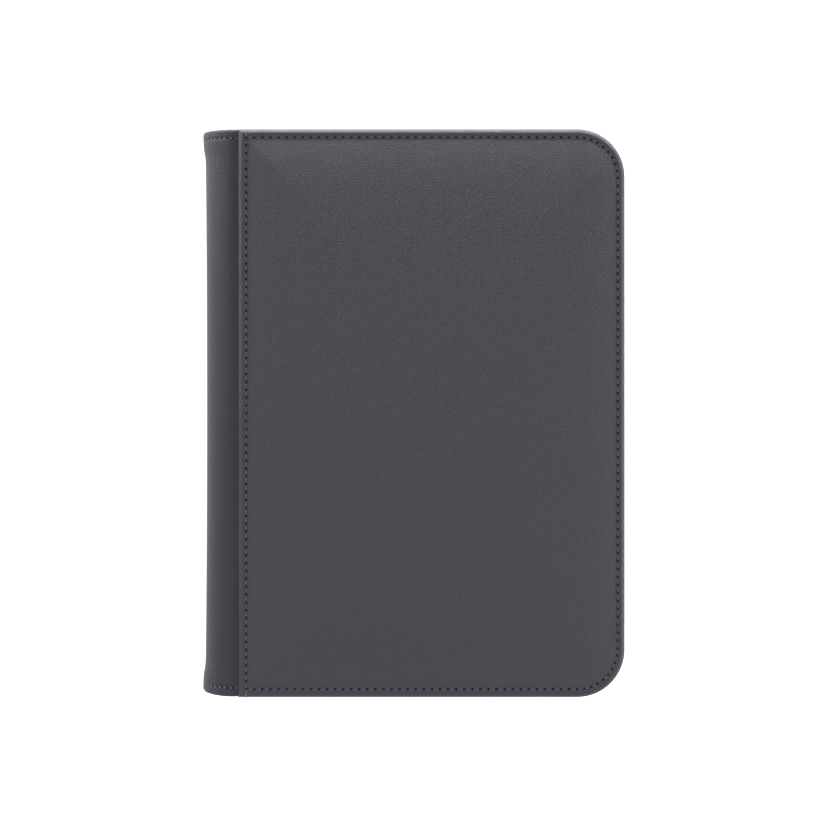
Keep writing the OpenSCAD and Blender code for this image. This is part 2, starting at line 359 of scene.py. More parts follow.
def leather_material(name="cross_grain_leather", colour=(0.0300, 0.0284, 0.0405), use_grain=True,
                     relief=0.30 * MM, shine=0.42):
    """Imitation leather with a pressed cross grain: two crossing families of fine ridges.

    relief is the depth of its grain in metres, and shine is its specular level.
    """
    g = Graph(name, colour, 0.5)
    vector = g.attribute("grain", "Vector") if use_grain else g.object_place()
    x, y, _ = g.axes(vector)
    wobble = g.maths("MULTIPLY", g.noise(vector, scale=160, detail=2), RIDGE_WOBBLE)
    broken = g.span(g.noise(vector, scale=900, detail=2), 0.3, 0.7, 0.92, 1.0)
    ridges = []
    for operation, share in (("ADD", 0.60), ("SUBTRACT", 0.58)):
        run = g.maths("MULTIPLY", g.maths(operation, x, y), math.sqrt(0.5))
        wave = g.maths("SINE", g.maths("MULTIPLY", g.maths("ADD", run, wobble), 2 * math.pi / RIDGE_PITCH))
        ridge = g.maths("POWER", g.maths("MULTIPLY_ADD", wave, 0.5, 0.5), RIDGE_ROUNDNESS)
        ridges.append(g.maths("MULTIPLY", g.maths("MULTIPLY", ridge, broken), share))
    height = g.maths("ADD", *ridges)
    fine = g.noise(vector, scale=2600)
    height = g.maths("MULTIPLY_ADD", fine, 0.04, height)
    g.bump(height, 0.9, relief)
    # painted shade and highlight: the colour is darker in the grain's valleys and lighter on its ridges,
    # under a faint random cloud of tone
    cloud = g.noise(vector, scale=22)
    shade = g.maths("MULTIPLY", height, g.span(cloud, 0.35, 0.65, 0.92, 1.0))
    ground = g.shades(shade, 0.15, 1.0, colour, 0.80, 1.15)
    if use_grain:
        # the needle holes get a painted near-black shade
        ground = g.mix(g.span(g.attribute("pit"), 0.12, 0.75, 0.0, 1.0), ground, HOLE_SHADE_COLOUR)
    g.put("Base Color", ground)
    g.put("Roughness", g.span(height, 0.0, 1.0, 0.62, 0.47))
    g.put("Specular IOR Level", shine)
    return g.material


def weave_material(name, colour, pitch, strength):
    """Plain woven cloth or tape, its threads slanting across X and Y of object space."""
    g = Graph(name, colour, 0.9)
    vector = g.object_place()
    x, y, z = g.axes(vector)
    turn = math.pi / pitch
    plan = g.maths("ADD", x, y)
    cross = g.maths("ADD", g.maths("SUBTRACT", x, y), z)
    first = g.maths("ABSOLUTE", g.maths("SINE", g.maths("MULTIPLY", plan, turn)))
    second = g.maths("ABSOLUTE", g.maths("SINE", g.maths("MULTIPLY", cross, turn)))
    height = g.maths("MAXIMUM", first, g.maths("MULTIPLY", second, 0.9))
    fuzz = g.noise(vector, scale=1800)
    height = g.maths("MULTIPLY_ADD", fuzz, 0.3, height)
    g.bump(height, strength, pitch * 0.35)
    g.shade(height, 0.2, 1.2, colour, 0.55, 1.45)
    g.put("Sheen Weight", 0.05)
    return g.material


def thread_material():
    """Twisted, waxed thread."""
    colour = (0.080, 0.078, 0.091)
    g = Graph("bonded_thread", colour, 0.55)
    x, y, z = g.axes(g.object_place())
    run = g.maths("ADD", g.maths("ADD", x, y), z)
    twist_pitch = 0.42 * MM
    twist = g.maths("SINE", g.maths("MULTIPLY", run, 2 * math.pi / twist_pitch))
    height = g.maths("MULTIPLY_ADD", twist, 0.5, 0.5)
    g.bump(height, 0.5, 0.08 * MM)
    g.shade(height, 0.1, 0.9, colour, 0.6, 1.25)
    return g.material


def foam_material(name, colour, scale):
    """Open-celled foam or felt."""
    g = Graph(name, colour, 0.95)
    cells = g.node("ShaderNodeTexVoronoi", {"Vector": g.object_place(), "Scale": scale})
    g.bump(cells.outputs["Distance"], 0.7, 0.3 * MM)
    g.shade(cells.outputs["Distance"], 0.0, 0.6, colour, 0.7, 1.0)
    return g.material


def board_material():
    """Grey board with flecks of fibre."""
    colour = (0.36, 0.31, 0.24)
    g = Graph("grey_board", colour, 0.9)
    fleck = g.noise(g.object_place(), scale=700, detail=6, rough=0.7)
    g.bump(fleck, 0.3, 0.2 * MM)
    g.shade(fleck, 0.35, 0.65, colour, 0.72, 1.0)
    return g.material


def metal_material(name, colour, rough):
    """Enamelled or plated metal, a little brushed and worn."""
    g = Graph(name, colour, rough, metallic=0.85)
    vector = g.object_place()
    wear = g.noise(vector, scale=260, detail=5, rough=0.6)
    fine = g.noise(vector, scale=3200, detail=2)
    g.bump(fine, 0.12, 0.05 * MM)
    g.put("Roughness", g.span(wear, 0.3, 0.7, rough - 0.08, rough + 0.12))
    g.shade(wear, 0.3, 0.7, colour, 0.85, 1.15)
    return g.material


def coil_material():
    """Moulded nylon coil."""
    colour = (0.030, 0.030, 0.034)
    g = Graph("nylon_coil", colour, 0.38)
    scuff = g.noise(g.object_place(), scale=900, detail=4)
    g.bump(scuff, 0.15, 0.06 * MM)
    g.put("Roughness", g.span(scuff, 0.3, 0.7, 0.3, 0.5))
    g.shade(scuff, 0.3, 0.7, colour, 0.8, 1.3)
    return g.material


def film_material():
    """Clear pocket film on a black sheet, glossy and faintly rippled, with paler welded seams."""
    colour = (0.022, 0.022, 0.026)
    g = Graph("pocket_film", colour, 0.42)
    vector = g.object_place()
    ripple = g.noise(vector, scale=38)
    fine = g.noise(vector, scale=900)
    under = g.bump(fine, 0.08, 0.1 * MM)
    g.bump(ripple, 0.35, 1.8 * MM, under)
    weld = g.span(g.attribute("weld"), 0.3, 0.9, 0.0, 1.0)
    ground = g.shades(ripple, 0.3, 0.7, colour, 1.0, 1.5)
    g.put("Base Color", g.mix(weld, ground, (0.085, 0.085, 0.095)))
    g.put("Coat Weight", 0.30)
    g.put("Coat Roughness", 0.20)
    return g.material


def hole_shade_material():
    """Painted shade for the dark inside of a needle hole: near-black, with no reflection."""
    g = Graph("needle_hole_painted_shade", HOLE_SHADE_COLOUR, 1.0)
    fray = g.noise(g.object_place(), scale=2500, detail=2)
    ground = g.ramp(fray, 0.3, 0.7, (0.002, 0.002, 0.003), (0.008, 0.008, 0.010))
    g.put("Base Color", ground)
    g.put("Specular IOR Level", 0.0)
    return g.material


# share of a hole's depth at which its painted dark shade begins, and the reach of a hole across its seam
HOLE_SHADE_EDGE = 0.10
HOLE_R = 0.34 * MM

HOLE_SHADE = hole_shade_material()
LEATHER = leather_material()
# the spine's leather is the cover's leather painted darker, a painted shade, with a shallower grain and
# less shine
SHADED_SPINE_LEATHER = leather_material("spine_leather_painted_shade", (0.0250, 0.0238, 0.0336),
                                 relief=0.20 * MM, shine=0.22)
INNER_LEATHER = leather_material("binding_leather", (0.022, 0.022, 0.024), use_grain=False)
LINING = weave_material("lining_cloth", (0.020, 0.020, 0.022), pitch=0.6 * MM, strength=0.5)
TAPE = weave_material("zip_tape_weave", (0.017, 0.017, 0.020), pitch=0.9 * MM, strength=0.8)
THREAD = thread_material()
FOAM = foam_material("soft_foam", (0.62, 0.61, 0.56), scale=1400)
FELT = foam_material("grey_felt", (0.16, 0.16, 0.17), scale=2200)
BOARD = board_material()
METAL = metal_material("gunmetal", (0.075, 0.075, 0.082), rough=0.36)
COIL = coil_material()
FILM = film_material()


def finish_cad(node, material, bevel=None):
    """Gives a carried-over CAD node its material and softened edges."""
    piece = NODES[node]
    piece.data.materials.clear()
    piece.data.materials.append(material)
    if bevel:
        soft = piece.modifiers.new("soft_edges", "BEVEL")
        soft.width = bevel
        soft.segments = 3
        soft.limit_method = "ANGLE"
        soft.angle_limit = math.radians(40)


# -------- covers

# in millimetres: radius of the rolled edge, width of the turned-in hem and radius of the fold outside it
RIM = 1.9
HEM_W = 9.0
HEM_FOLD = 1.2
# in millimetres: distances from the edge at which the face is measured, close together at the stitches
FACE_INSETS = [RIM, 2.3, 2.65, 2.9, 3.2, 3.5, 3.8, 4.2, 4.9, 5.9, 7.4, 9.5, 12.5, 17, 24, 34, 48, 62, 76]
# the seam's press on the face: a channel as wide as its holes, a wider dip round it, and the holes
CHANNEL_DEPTH = 0.30 * MM
DIP_DEPTH = 0.12 * MM
DIP_REACH = 1.6 * MM
HOLE_DEPTH = 0.44 * MM
# the padding's rise, the distance from the seam over which most of it comes, and the face's set-down
FACE_RISE = 1.15 * MM
RISE_REACH = 11 * MM
FACE_SINK = 0.05 * MM


def hole_share(gap, phase):
    """How far into a needle hole a point is, from 0 to 1, by its distance from the stitch line.

    phase counts stitches along the line, and the high power keeps the holes between them short.
    """
    return hill(gap, HOLE_R) * np.abs(np.cos(math.pi * phase)) ** 12


def face_height(inset, phase):
    """Depth under the outer face, positive inwards, of a point of the skin."""
    gap = inset - STITCH_INSET
    pressed = CHANNEL_DEPTH * hill(gap, HOLE_R) + HOLE_DEPTH * hole_share(gap, phase)
    swell = FACE_RISE * (1 - math.exp(-max(gap, 0) / RISE_REACH))
    return pressed + DIP_DEPTH * hill(gap, DIP_REACH) - swell + FACE_SINK


def skin_profile():
    """The leather's section from its hem round the edge to the face, as (inset, depth) in millimetres."""
    panel = PANEL_T / MM
    profile = [(HEM_W, panel - 0.75), (HEM_W - 0.1, panel - 0.2), (HEM_W - 0.4, panel), (5.0, panel),
               (HEM_FOLD, panel)]
    for a in np.linspace(0, math.pi / 2, 5)[1:]:
        profile.append((HEM_FOLD * (1 - math.sin(a)), panel - HEM_FOLD * (1 - math.cos(a))))
    profile.append((0.0, 2.8))
    for a in np.linspace(0, math.pi / 2, 9)[:-1]:
        profile.append((RIM * (1 - math.cos(a)), RIM * (1 - math.sin(a))))
    return profile


def cover_skin(name, upward, body, node):
    """The leather of a cover: hem, rolled rim, stitched border and softly padded face."""
    count = len(outline(0))
    phase = np.arange(count) / LOOP_STEPS
    profile = skin_profile()
    rings = []
    pits = []
    for inset_mm, depth_mm in profile:
        rings.append(np.column_stack([outline(inset_mm * MM), np.full(count, depth_mm * MM)]))
        pits.append(np.zeros(count))
    for inset_mm in FACE_INSETS:
        inset = inset_mm * MM
        points = outline(inset, inset * SEAM_INSET / STITCH_INSET, inset * END_INSET / STITCH_INSET)
        # the face's own depth comes in over its first step
        share = min((inset_mm - RIM) / (FACE_INSETS[1] - RIM), 1.0)
        rings.append(np.column_stack([points, face_height(inset, phase) * share]))
        pits.append(hole_share(inset - STITCH_INSET, phase))
    verts = np.concatenate(rings)
    rows = len(rings)
    faces = grid_faces(rows, count, close_cols=True).tolist()
    # one flat face closes the middle
    faces.append(list(range((rows - 1) * count, rows * count)))
    # the grain runs on over the rim by the way along the leather's section
    section = np.array(profile + [(inset_mm, 0.0) for inset_mm in FACE_INSETS])
    run = np.concatenate([[0.0], np.cumsum(np.hypot(*np.diff(section, axis=0).T))])
    beyond = np.repeat(np.maximum(run[len(profile)] - run, 0), count) * MM
    flat = verts[:, :2].copy()
    centre = np.array([(COVER_X + EDGE_X) / 2, 0.0])
    away = flat - centre
    sideways = np.abs(away[:, 0]) / (EDGE_X - centre[0]) > np.abs(away[:, 1]) / HALF_H
    flat[sideways, 0] += np.sign(away[sideways, 0]) * beyond[sideways]
    flat[~sideways, 1] += np.sign(away[~sideways, 1]) * beyond[~sideways]
    grain = np.column_stack([flat, np.zeros(len(flat))])
    if upward:
        verts[:, 2] = TOP_Z - verts[:, 2]
        faces = [f[::-1] for f in faces]
    else:
        # the back face lies flat on what the binder rests on
        verts[:, 2] = np.maximum(verts[:, 2], 0.0)
    pit = np.concatenate(pits)
    return make(name, verts, faces, LEATHER, body, [node], grain=grain, pit=pit)


# width of the thread, and how far a stitch stands out between its two needle holes
STITCH_W = 0.60 * MM
STITCH_RISE = 0.26 * MM
# share of the pitch that a stitch spans between its two needle holes
STITCH_SHARE = 0.68
# depth of a stitch's middle line under the outer face, on the covers and on the spine's hems
STITCH_SINK = 0.32 * MM
HEM_SINK = 0.20 * MM
# how much a stitch slants across its line, as a share of its length
STITCH_SLANT = 0.10


def stitch_template():
    """One stitch of unit length: a thread that comes out of one needle hole and dives into the next."""
    t = np.linspace(0, 1, 9)
    bow = np.sin(math.pi * t)
    z = STITCH_RISE * (np.maximum(bow, 0) ** 0.55 - 1.0)
    z[0] = z[-1] = -STITCH_RISE * 2.2
    path = np.column_stack([t - 0.5, np.zeros_like(t), z])
    return tube(path, STITCH_W / 2 * (0.72 + 0.28 * bow))


def edge_loop(end, sign, face):
    """The last stitch of the seam, from the crossing with an end row out and round the cover's edge."""
    # the thread's route as (inset from the end, depth under the face) in millimetres
    route = [(3.3, 0.75), (3.0, 0.40), (2.2, 0.32), (1.3, 0.32), (0.8, 0.55), (0.25, 1.1), (-0.08, 1.9),
             (-0.12, 2.6), (0.0, 3.3), (0.3, 3.8), (0.8, 4.0)]
    # the front's thread stands out a little, but the binder rests on the back's
    raised = 0.25 if sign > 0 else 0.0
    path = [(COVER_X + SEAM_INSET, end * (HALF_H - inset * MM), face - sign * (depth - raised) * MM)
            for inset, depth in route]
    return tube(path, STITCH_W / 2, side=(1.0, 0.0, 0.0))


def cover_stitches(name, upward, body, node):
    """Lockstitching round three sides of a cover and down its seam."""
    starts = outline(STITCH_INSET, SEAM_INSET, END_INSET)[::LOOP_STEPS]
    ends = np.roll(starts, -1, axis=0)
    length = np.linalg.norm(ends - starts, axis=1)
    n = len(starts)
    sign = 1.0 if upward else -1.0
    face = TOP_Z if upward else 0.0
    origins = np.column_stack([(starts + ends) / 2, np.full(n, face - sign * STITCH_SINK)])
    along, across = level((ends - starts) / length[:, None])
    along = unit(along + STITCH_SLANT * across)
    up = np.tile([0.0, 0.0, sign], (n, 1))
    row = repeat(*stitch_template(), origins, along, across, up, length * STITCH_SHARE)
    verts, faces = joined([row, edge_loop(-1, sign, face), edge_loop(1, sign, face)])
    return make(name, verts, faces, THREAD, body, [node])


# -------- spine

# how far the spine falls in inside its hems, and how much further half way up
HEM_STEP = 1.05 * MM
SLACK = 0.75 * MM
# the groove beside each cover's fold: its depth, and its reach in radians round the spine
GROOVE_DEPTH = 0.9 * MM
GROOVE_REACH = 0.20
# the spine's curve is drawn from a little way inside the cover's edge
CURVE_START = 0.3 * MM
# the hems' stitches: their distance up from the middle and their pitch
SPINE_STITCH_Y = HALF_H - 4.0 * MM
SPINE_PITCH = 2.6 * MM
# the channel that they press into the hem, the reach of it, and the needle holes' depth
HEM_CHANNEL = 0.26 * MM
HEM_REACH = 0.45 * MM
HEM_HOLE = 0.60 * MM
# the leather's thickness, the width of the hem, and how far the very end rounds over
LAYER = 1.2 * MM
SPINE_HEM_W = 9.2 * MM
END_ROUND = 0.7 * MM


def spine_bulge(y):
    """How far the spine stands out at a height: full at the hemmed ends, a little slack between."""
    end = np.abs(y) / HALF_H
    return SPINE_R - HEM_STEP * (1 - ease(end, 0.925, 0.012)) - SLACK * (1 - end**2)


def spine_surface(radius_drop, angles, ys):
    """Points of the half-round spine at some depth under its outer face."""
    y = ys[:, None] + 0 * angles[None]
    a = angles[None] + 0 * ys[:, None]
    reach = spine_bulge(y) - radius_drop
    # the leather dips into a shallow groove beside each cover's fold
    groove = GROOVE_DEPTH * hill(math.pi / 2 - np.abs(a), GROOVE_REACH)
    rise = SPINE_R - radius_drop - groove
    x = COVER_X + CURVE_START - (reach + CURVE_START) * np.cos(a)
    z = MID_Z + rise * np.sin(a)
    return np.stack([x, y, z], -1)


def spine_leather():
    """The spine's leather: a half-round shell with its two ends turned in."""
    n_a = 241
    angles = np.linspace(math.pi / 2, -math.pi / 2, n_a)
    # distances from an end, close together at the hem's stitches
    near = np.array([0.25, 0.8, 1.4, 2.0, 2.6, 3.1, 3.4, 3.7, 4.0, 4.3, 4.6, 4.9, 5.5, 6.5, 7.6, 8.6, 9.2,
                     10, 11]) * MM
    between = np.linspace(-HALF_H + 12 * MM, HALF_H - 12 * MM, 60)
    ys = np.concatenate([-HALF_H + near, between, (HALF_H - near)[::-1]])
    from_end = HALF_H - np.abs(ys)
    inward = np.stack([np.cos(angles), 0 * angles, -np.sin(angles)], -1)[None]
    arc = (angles[0] - angles) * SPINE_R
    surface = spine_surface(0.0, angles, ys)
    # the stitches press the hem, and its very end rounds over
    gap = np.abs(np.abs(ys) - SPINE_STITCH_Y)[:, None]
    hole = hole_share(gap, (arc / SPINE_PITCH)[None])
    press = HEM_CHANNEL * hill(gap, HEM_REACH) + HEM_HOLE * hole
    rounded = END_ROUND * np.clip(1 - from_end / LAYER, 0, 1)[:, None] ** 2
    outer = surface + (press + rounded)[..., None] * inward
    # the hem is two layers thick
    thick = LAYER + LAYER * ease(SPINE_HEM_W - from_end, 0, 0.25 * MM)
    inner = (surface + thick[:, None, None] * inward)[::-1]
    # the turned-in ends close over with a round fold
    caps = []
    for side, row in ((1, -1), (-1, 0)):
        end_y = np.array([side * (HALF_H - near[0])])
        ring_in = spine_surface(0.0, angles, end_y)[0] + 2 * LAYER * inward[0]
        cap = []
        for t in (0.25, 0.5, 0.75):
            ring = outer[row] * (1 - t) + ring_in * t
            ring[:, 1] += side * math.sin(math.pi * t) * near[0]
            cap.append(ring)
        caps.append(np.array(cap))
    rows = np.concatenate([outer, caps[0], inner, caps[1][::-1]])
    n_rows = len(rows)
    faces = grid_faces(n_rows, n_a, close_rows=True)
    # the grain runs on round the spine from the cover, and a little off it on the inside
    grain = np.zeros((n_rows, n_a, 3))
    grain[..., 0] = arc[None] - COVER_X
    grain[..., 1] = rows[..., 1] + np.where(np.arange(n_rows) >= len(ys), 4 * MM, 0.0)[:, None]
    pit = np.zeros((n_rows, n_a))
    pit[: len(ys)] = hole
    piece = make("spine_skin", rows.reshape(-1, 3), faces, SHADED_SPINE_LEATHER, "spine", ["spine_leather"],
                 grain=grain.reshape(-1, 3), pit=pit)
    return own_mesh(piece)


def spine_stitches():
    """The rows of stitches across the spine's two hems."""
    n = int(math.pi * SPINE_R / SPINE_PITCH)
    angle = math.pi / 2 - (np.arange(n) + 0.5) * SPINE_PITCH / SPINE_R
    # a small turn ahead gives the row's direction
    ahead = 0.02
    out = np.stack([-np.cos(angle), 0 * angle, np.sin(angle)], -1)
    rows = []
    for side in (-1, 1):
        y = np.array([side * SPINE_STITCH_Y])
        point = spine_surface(HEM_SINK, angle, y)[0]
        step = unit(spine_surface(HEM_SINK, angle - ahead, y)[0] - point)
        lengths = np.full(n, SPINE_PITCH * STITCH_SHARE)
        rows.append(repeat(*stitch_template(), point, step, np.cross(out, step), out, lengths))
    verts, faces = joined(rows)
    piece = make("spine_hem_stitches", verts, faces, THREAD, "spine", ["spine_thread"])
    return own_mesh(piece)


def spine_inside(name, material, node, outer_drop, inner_drop, margin):
    """A soft layer inside the spine, between two depths and a margin short of the spine's ends."""
    n_a = 91
    angles = np.linspace(math.pi / 2, -math.pi / 2, n_a)
    ys = np.linspace(-HALF_H + margin, HALF_H - margin, 70)
    outer = spine_surface(outer_drop, angles, ys)
    inner = spine_surface(inner_drop, angles, ys)[::-1]
    rows = np.concatenate([outer, inner])
    faces = grid_faces(len(rows), n_a, close_rows=True).tolist()
    m = len(ys)
    for column in (0, n_a - 1):
        loop = [r * n_a + column for r in range(2 * m)]
        strip = [[loop[k], loop[k + 1], loop[2 * m - 2 - k], loop[2 * m - 1 - k]] for k in range(m - 1)]
        faces += strip if column else [f[::-1] for f in strip]
    piece = make(name, rows.reshape(-1, 3), faces, material, "spine", [node])
    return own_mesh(piece)


# -------- zip


def zip_path(step, low_x, high_x):
    """Points at equal steps along the zip's mid-plane, with their direction, from low_x round to high_x."""
    r = CORNER_R - ZIP_INSET
    right = EDGE_X - ZIP_INSET - r
    top = HALF_H - ZIP_INSET
    high = top - r
    quarter = math.pi / 2 * r
    # each stretch's length, first point and heading; every second one turns left round a corner
    stretches = [
        (right - low_x, (low_x, -top), 0.0),
        (quarter, (right, -top), 0.0),
        (2 * high, (right + r, -high), math.pi / 2),
        (quarter, (right + r, high), math.pi / 2),
        (right - high_x, (right, top), math.pi),
    ]
    total = sum(length for length, _, _ in stretches)
    n = int(total / step)
    points, run = [], []
    for s in (np.arange(n) + 0.5) * total / n:
        part = 0
        while s > stretches[part][0]:
            s -= stretches[part][0]
            part += 1
        _, (x, y), heading = stretches[part]
        turned = heading
        if part % 2:
            turned += s / r
            x += r * (math.sin(turned) - math.sin(heading))
            y += r * (math.cos(heading) - math.cos(turned))
        else:
            x += s * math.cos(heading)
            y += s * math.sin(heading)
        points.append((x, y))
        run.append((math.cos(turned), math.sin(turned)))
    return np.array(points), np.array(run)


COIL_PITCH = 1.5 * MM
# how far a loop reaches from its tape, and how far its head passes the zip's middle
COIL_REACH = 3.1 * MM
COIL_PASS = 0.62 * MM
WIRE_R = 0.30 * MM
# the two sewing cords along a row: radius, distance from the row's middle plane and from the zip's middle
CORD_R = 0.26 * MM
CORD_SIDE = 0.5 * MM
CORD_Z = 2.1 * MM


def coil_loop():
    """One loop of the coil: out of the tape, round the head at the zip's middle and back."""
    t = np.linspace(0, 1, 13)
    turn = (t - 0.5) * 2 * math.pi * 0.80
    z = COIL_REACH / 2 * (1 + np.cos(turn))
    path = np.column_stack([0.10 * MM * np.sin(turn), 0.78 * MM * np.sin(turn), z])
    first = np.tile([1.0, 0.0, 0.0], (len(path), 1))
    second = unit(np.cross(np.gradient(path, axis=0), first))
    # the wire is pressed thicker at the head
    return swept(path, first, second, WIRE_R * (1 + 0.25 * hill(t - 0.5, 0.12)), 8)


def coil_row(name, upward, body, node, low_x, high_x):
    """One row of the coil: loops whose heads mesh between those of the other row."""
    sign = 1.0 if upward else -1.0
    points, run = zip_path(COIL_PITCH, low_x, high_x)
    n = len(points)
    # the two rows stand half a pitch apart
    points = points + run * COIL_PITCH * sign * 0.25
    origins = np.column_stack([points, np.full(n, MID_Z + sign * (COIL_REACH - COIL_PASS))])
    up = np.tile([0.0, 0.0, -sign], (n, 1))
    parts = [repeat(*coil_loop(), origins, *level(run), up)]
    points, run = zip_path(1.2 * MM, low_x, high_x)
    across = level(run)[1]
    upwards = np.tile([0.0, 0.0, 1.0], (len(points), 1))
    for offset in (-CORD_SIDE, CORD_SIDE):
        cord = np.column_stack([points, np.full(len(points), MID_Z + sign * CORD_Z)]) + across * offset
        parts.append(swept(cord, across, upwards, CORD_R, 6))
    verts, faces = joined(parts)
    return make(name, verts, faces, COIL, body, [node])


# angles in radians of the rings round a bevel
BEVEL_TURN = (1.57, 1.2, 0.8, 0.4, 0.0)


def bevelled(low, high, bevel, dome=0.0):
    """Rings of (inset, height) of a slab with rounded edges, and with its upper face raised by dome."""
    rounded = [(bevel * (1 - math.cos(a)), bevel * (1 - math.sin(a))) for a in BEVEL_TURN]
    rings = [(inset, low + rise) for inset, rise in rounded]
    rings += [(inset, high - rise) for inset, rise in rounded[::-1]]
    if dome:
        rings += [(bevel * 2.2, high + dome * 0.6), (bevel * 3.6, high + dome)]
    return rings


# edges of the metal pieces that turn by more than this stay crisp
CREASE = math.radians(35)


def metal_piece(name, parts, start_x, side_y, body, node):
    """A metal piece from parts in millimetres: along the zip, up from its middle, and outwards."""
    verts, faces = joined(parts)
    along, up, outwards = verts.T * MM
    place = np.column_stack([start_x + along, side_y - outwards, MID_Z + up])
    piece = make(name, place, faces, METAL, body, [node])
    piece.data.set_sharp_from_angle(angle=CREASE)
    return piece


# the slider, in millimetres: its length, half its height at its leading end and at its tail, its corners
SLIDER_L = 11.0
SLIDER_LEAD = 4.5
SLIDER_TAIL = 3.85
SLIDER_CORNER = 1.5
# from the zip's middle plane: the plates' inner and outer face, and the flanges' free edge
PLATE_LOW = 1.3
PLATE_HIGH = 2.5
FLANGE_LOW = 0.65
# distance from the slider's middle line to its flanges
FLANGE_Z = 3.2
# how far a flange or the post runs into its plate
OVERLAP = 0.1


def slider_half(x):
    """Half the slider's height at a distance from its leading end, with rounded corners, in millimetres."""
    half = SLIDER_LEAD + (SLIDER_TAIL - SLIDER_LEAD) * ease(x, SLIDER_L / 2, 1.0)
    inside = np.maximum(SLIDER_CORNER - np.minimum(x, SLIDER_L - x), 0)
    return half - SLIDER_CORNER + np.sqrt(np.maximum(SLIDER_CORNER**2 - inside**2, 0))


def slider_plate():
    """The outline of one of the slider's plates, with a shallow notch at the leading end."""
    corner_x = SLIDER_CORNER * (1 - np.cos(np.linspace(0, math.pi / 2, 7)))
    x = np.concatenate([corner_x, np.linspace(1.8, SLIDER_L - 1.8, 13), SLIDER_L - corner_x[::-1]])
    half = slider_half(x)
    notch_z = np.linspace(half[0], -half[0], 13)[1:-1]
    notch = np.column_stack([0.55 * hill(notch_z, 0.9), notch_z])
    return np.concatenate([np.column_stack([x, -half]), np.column_stack([x, half])[::-1], notch])


def slider_post():
    """The outline of the post that parts the two rows: a narrow leaf shape."""
    turn = np.linspace(0, math.pi, 9)
    x = 0.25 + 2.6 * (1 - np.cos(turn)) / 2
    z = 0.25 * np.sin(turn) ** 0.7
    return np.concatenate([np.column_stack([x, -z]), np.column_stack([x, z])[::-1][1:-1]])


def slider_piece():
    """The zip's slider: two waisted plates with flanges, the post between the rows, and the pull's bail."""
    low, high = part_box("zip_slider")
    plate = slider_plate()
    parts = [slab(plate, bevelled(PLATE_LOW, PLATE_HIGH, 0.35, dome=0.15)),
             slab(plate, bevelled(-PLATE_HIGH, -PLATE_LOW, 0.35))]
    x = np.linspace(0.9, SLIDER_L - 0.9, 15)
    for row in (-1, 1):
        near = np.column_stack([x, np.full(len(x), row * FLANGE_Z)])
        far = np.column_stack([x, row * (slider_half(x) - 0.08)])
        flange = np.concatenate([near, far[::-1]] if row > 0 else [far, near[::-1]])
        parts.append(slab(flange, bevelled(FLANGE_LOW, PLATE_LOW + OVERLAP, 0.12)))
        parts.append(slab(flange, bevelled(-PLATE_LOW - OVERLAP, -FLANGE_LOW, 0.12)))
    parts.append(slab(slider_post(), [(0.0, -PLATE_LOW - OVERLAP), (0.0, PLATE_LOW + OVERLAP)]))
    # the bail is an arch over the outer plate, as (x, distance from the zip's middle plane)
    rise = [(1.9, 2.4), (1.9, 3.0), (2.0, 3.5), (2.35, 3.85), (2.9, 4.0), (4.2, 4.0)]
    arch = rise + [(SLIDER_L - x, w) for x, w in rise[::-1]]
    parts.append(tube([(x, 0.0, w) for x, w in arch], 0.4, 12, widen=2.2))
    side_y = high[1] - PLATE_HIGH * MM
    return metal_piece("zip_slider_body", parts, low[0], side_y, "slider", "zip_slider")


# the pull's tab, in millimetres from its crossbar: half its width at the neck, and its rounded ends
NECK_HALF = 2.6
TAB_HALF = 3.5
TAB_END_X = 30.5
NECK_X = 6.6
# the slot in the tab: its middle, half its width, and half the length of its straight sides
SLOT_X = 25.5
SLOT_HALF = 1.2
SLOT_REACH = 3.5


def pull_outline():
    """The pull's tab, anticlockwise: a strip that widens from its neck and ends round."""
    x = np.concatenate([np.linspace(6.8, 11.0, 9), np.linspace(12.0, 29.5, 18)])
    half = NECK_HALF + (TAB_HALF - NECK_HALF) * ease(x, 8.7, 0.6)
    turn = np.linspace(-math.pi / 2, math.pi / 2, 25)
    cap = np.column_stack([TAB_END_X + TAB_HALF * np.cos(turn), TAB_HALF * np.sin(turn)])
    turn = np.linspace(math.pi / 2, -math.pi / 2, 15)
    neck = np.column_stack([NECK_X - 2.0 * np.cos(turn), NECK_HALF * np.sin(turn)])
    return np.concatenate([np.column_stack([x, -half]), cap, np.column_stack([x, half])[::-1], neck])


def slot_point(angle):
    """A point of the pull's round-ended slot, seen from the slot's middle at an angle."""
    rise, run = abs(math.sin(angle)), abs(math.cos(angle))
    if rise * SLOT_REACH > SLOT_HALF * run:
        r = SLOT_HALF / rise
    else:
        r = SLOT_REACH * run + math.sqrt(SLOT_HALF**2 - (SLOT_REACH * rise) ** 2)
    return (SLOT_X + r * math.cos(angle), r * math.sin(angle))


